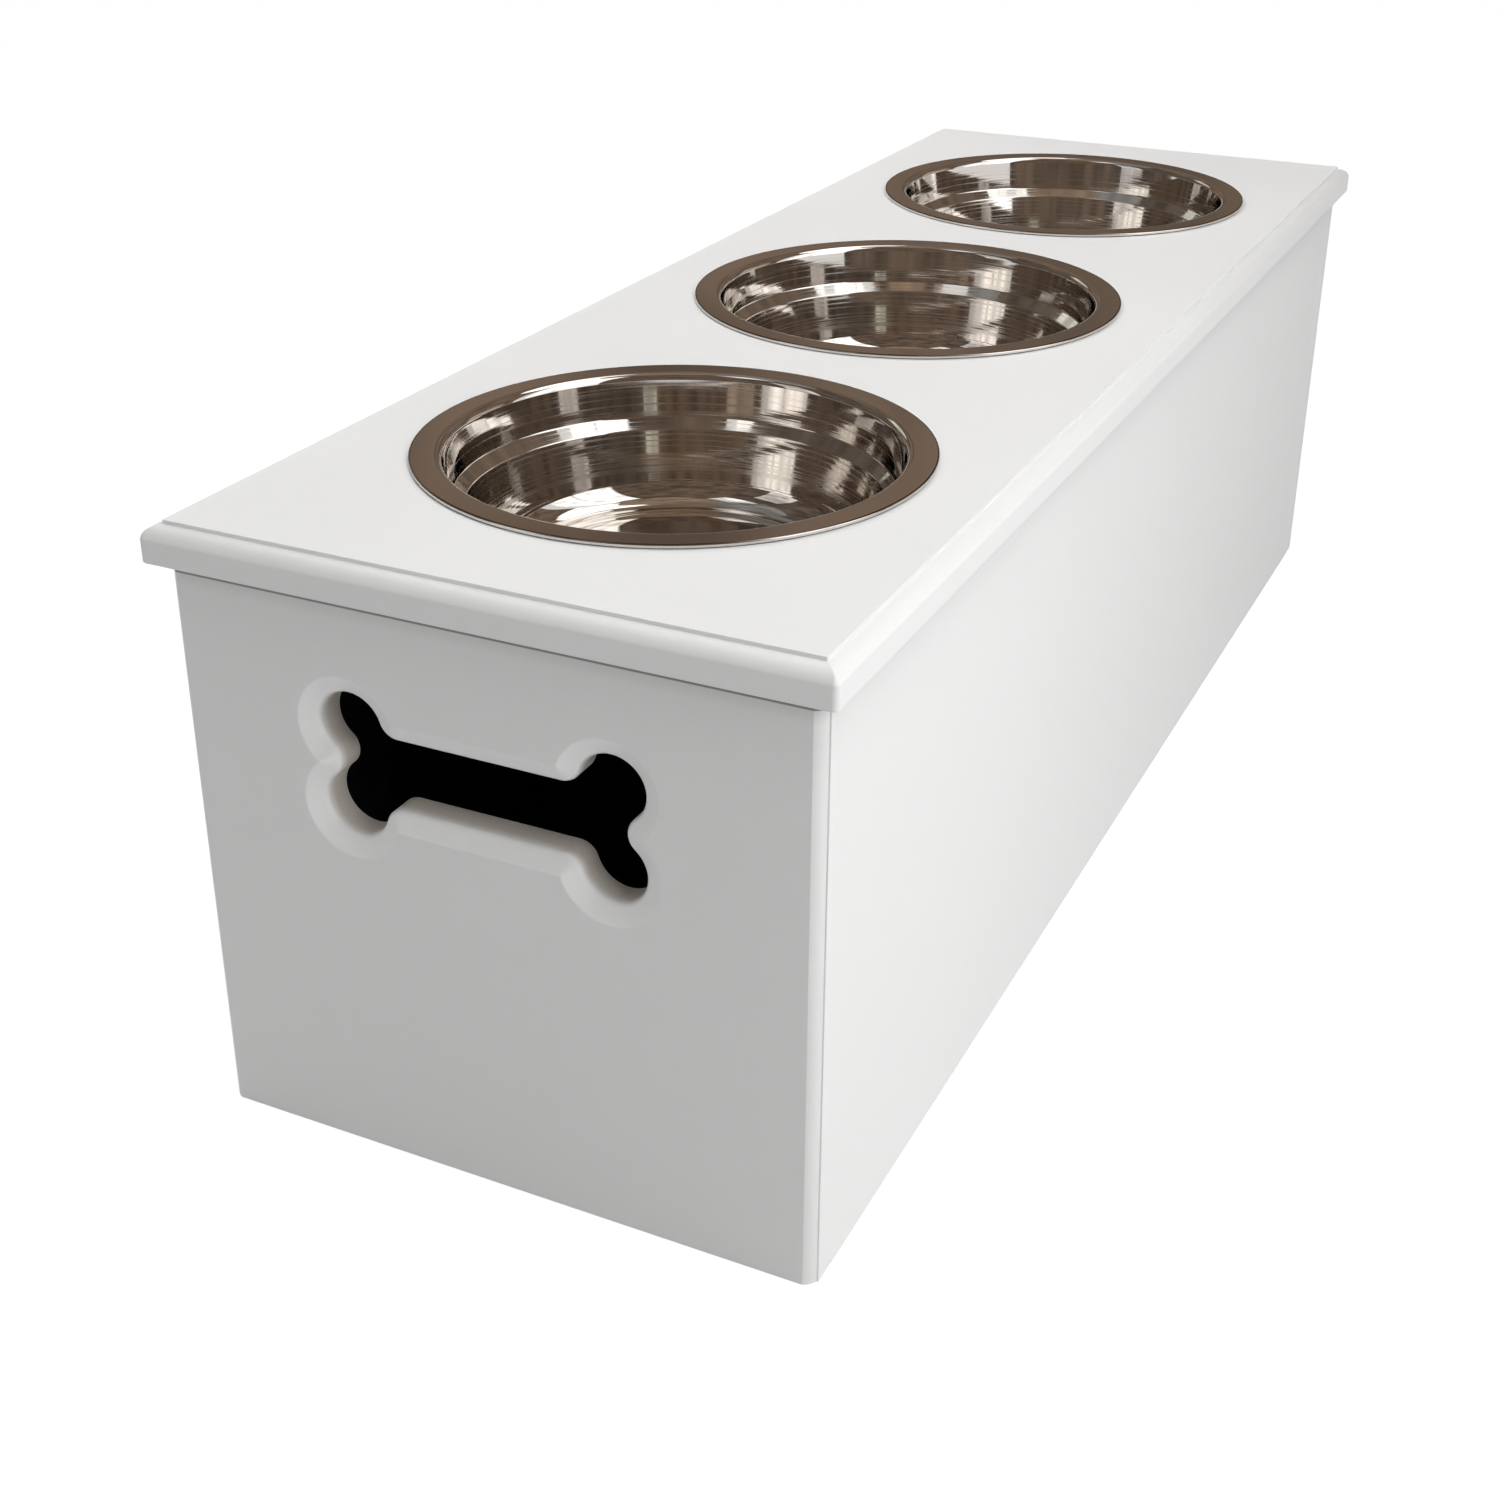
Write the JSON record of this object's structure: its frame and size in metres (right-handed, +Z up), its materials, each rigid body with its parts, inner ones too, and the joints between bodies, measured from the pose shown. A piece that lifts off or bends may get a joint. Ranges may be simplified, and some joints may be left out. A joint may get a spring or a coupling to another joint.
{
  "type": "elevated dog feeder with storage",
  "caption": "Long low wooden box with a lift-off lid that holds a row of lift-out steel bowls, bone-shaped hand holes in its ends and a storage space inside.",
  "frame": {"origin": "middle of the box's footprint, on the floor", "axes": "+X to the right along the front end, +Y along the row of bowls from the front end to the rear end, +Z up"},
  "size_m": [0.314, 0.919, 0.2931],
  "materials": {
    "white_paint": "white satin lacquer over board",
    "inside_paint": "matt black paint",
    "bowl_steel": "polished flange, finely brushed inside",
    "screw_zinc": "yellow zinc"
  },
  "bodies": {
    "box": {"front_end_panel": "white_paint", "rear_end_panel": "white_paint", "left_side_panel": "white_paint", "right_side_panel": "white_paint", "base_panel": "inside_paint", "base_batten_front": "inside_paint", "base_batten_rear": "inside_paint", "base_batten_left": "inside_paint", "base_batten_right": "inside_paint", "corner_block_front_left": "inside_paint", "corner_block_front_right": "inside_paint", "corner_block_rear_left": "inside_paint", "corner_block_rear_right": "inside_paint", "corner_block_screws": "screw_zinc", "base_batten_screws": "screw_zinc", "base_screws": "screw_zinc"},
    "lid": {"lid_board": "white_paint", "lid_locator_front": "white_paint", "lid_locator_rear": "white_paint", "lid_locator_left": "white_paint", "lid_locator_right": "white_paint", "lid_locator_screws": "screw_zinc"},
    "front_bowl": {"front_bowl": "bowl_steel"},
    "middle_bowl": {"middle_bowl": "bowl_steel"},
    "rear_bowl": {"rear_bowl": "bowl_steel"}
  },
  "joints": [
    {"name": "lid_lift", "type": "slide", "parent": "box", "child": "lid", "axis": [0, 0, 1], "range_m": [0, 0.15]},
    {"name": "front_bowl_lift", "type": "slide", "parent": "lid", "child": "front_bowl", "axis": [0, 0, 1], "range_m": [0, 0.08]},
    {"name": "middle_bowl_lift", "type": "slide", "parent": "lid", "child": "middle_bowl", "axis": [0, 0, 1], "range_m": [0, 0.08]},
    {"name": "rear_bowl_lift", "type": "slide", "parent": "lid", "child": "rear_bowl", "axis": [0, 0, 1], "range_m": [0, 0.08]}
  ]
}
